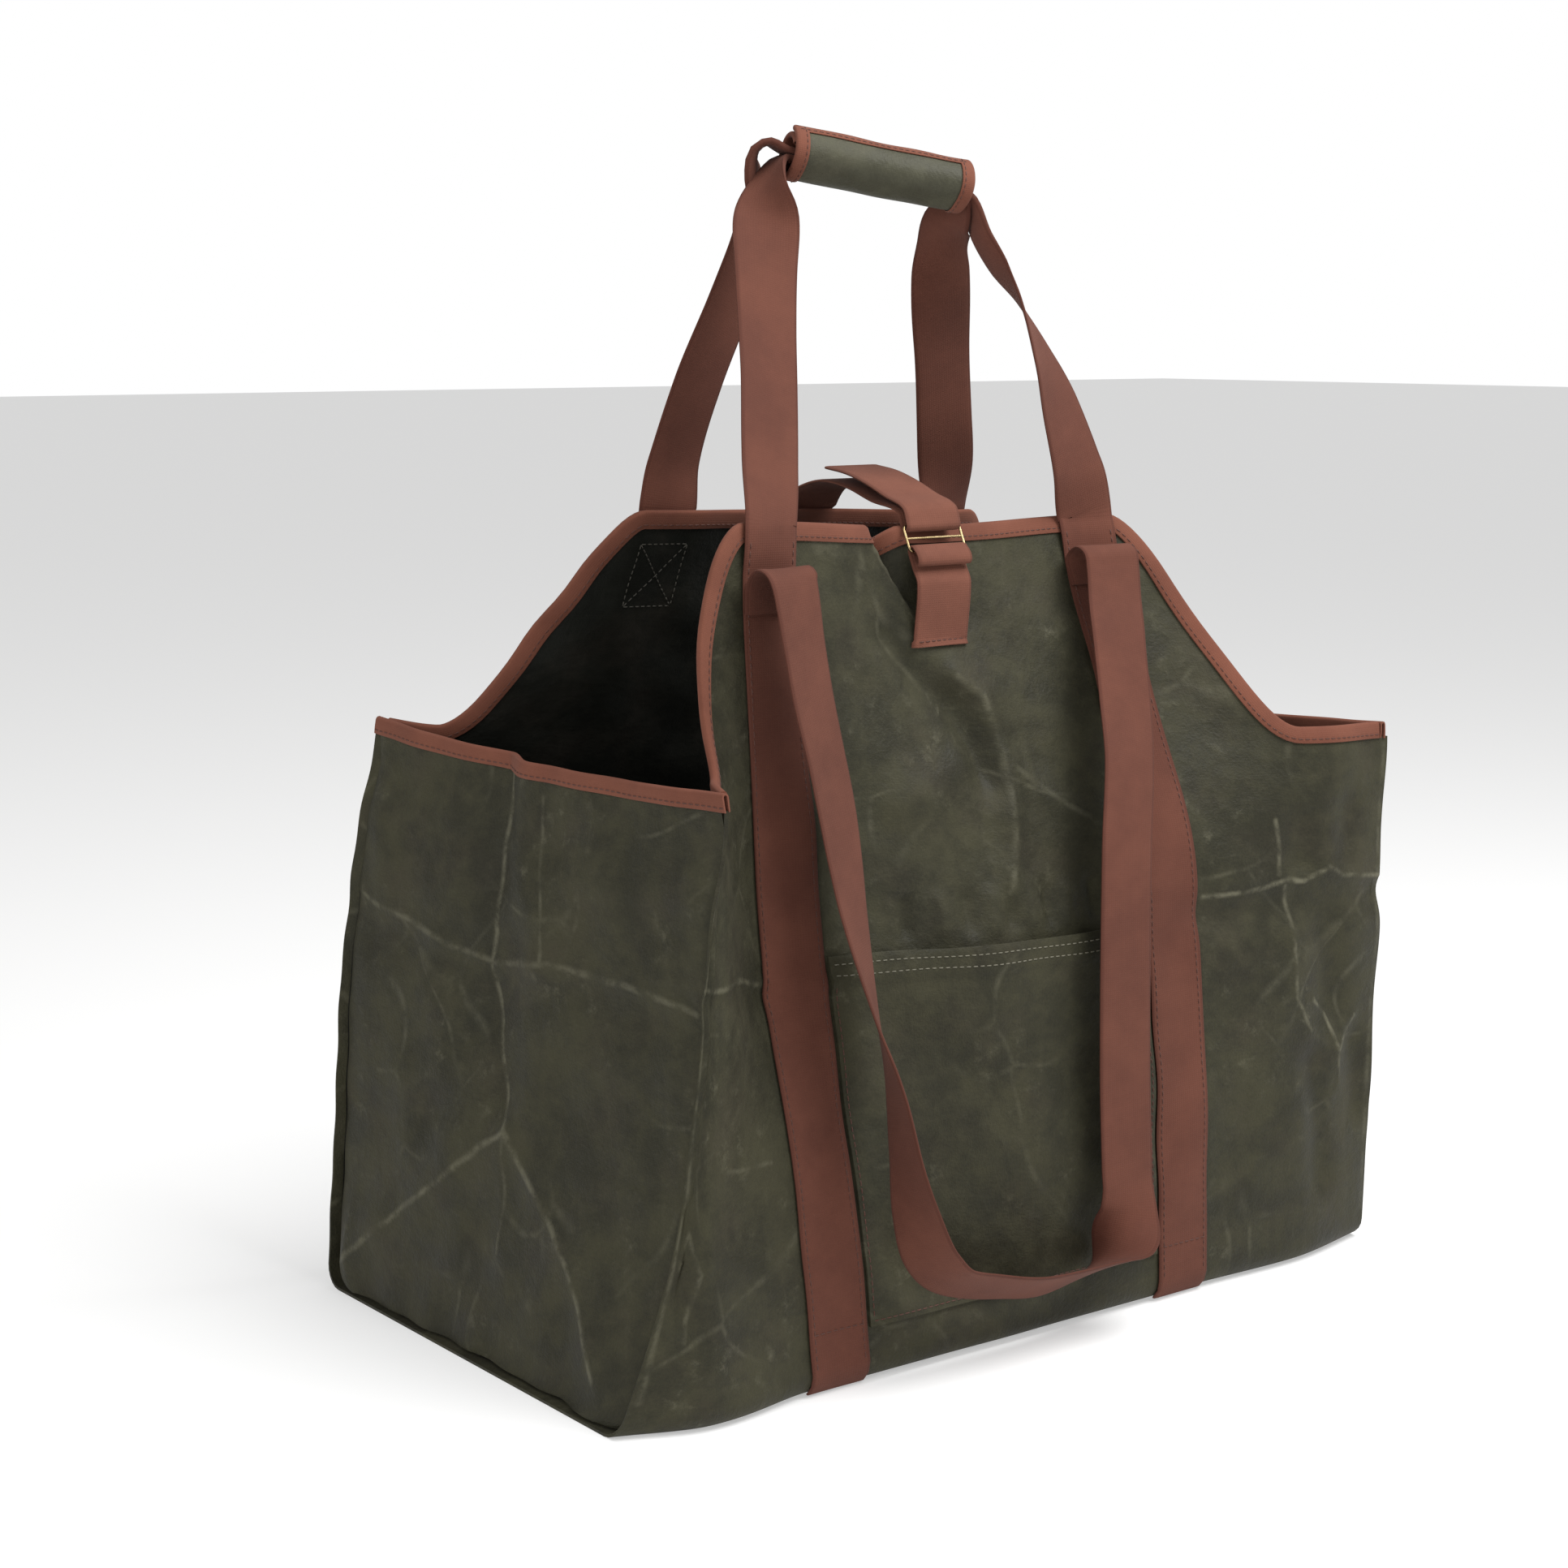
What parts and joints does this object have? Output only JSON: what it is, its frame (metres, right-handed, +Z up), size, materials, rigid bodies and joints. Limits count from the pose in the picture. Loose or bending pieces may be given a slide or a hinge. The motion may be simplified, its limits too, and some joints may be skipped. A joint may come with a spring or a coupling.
{
  "type": "log bag",
  "caption": "Open-topped canvas carrier bag for firewood with webbing handles joined by a wrapped grip, a hanging shoulder strap, a front patch pocket and a strap-and-slide closure.",
  "frame": {"origin": "middle of the bag's flat base, on the floor", "axes": "+Z up, X along the bag with +X to the right as its front is faced, -Y out of the front wall that has the pocket and the shoulder strap"},
  "size_m": [0.5477, 0.358, 0.6584],
  "materials": {
    "canvas": "waxed olive-grey canvas, faint sheen, pale crease marks",
    "webbing": "matte rust-brown cotton webbing",
    "binding": "matte rust-brown cotton tape",
    "brass": "plain polished brass"
  },
  "bodies": {
    "root": {"main_panel": "canvas", "left_end_panel": "canvas", "right_end_panel": "canvas", "front_pocket": "canvas", "grip_wrap": "canvas", "front_edge_binding": "binding", "back_edge_binding": "binding", "left_end_binding": "binding", "right_end_binding": "binding", "grip_binding": "binding", "front_strap": "webbing", "back_strap": "webbing", "shoulder_strap": "webbing", "closure_tab": "webbing", "closure_strap": "webbing", "closure_slide": "brass"}
  },
  "joints": []
}
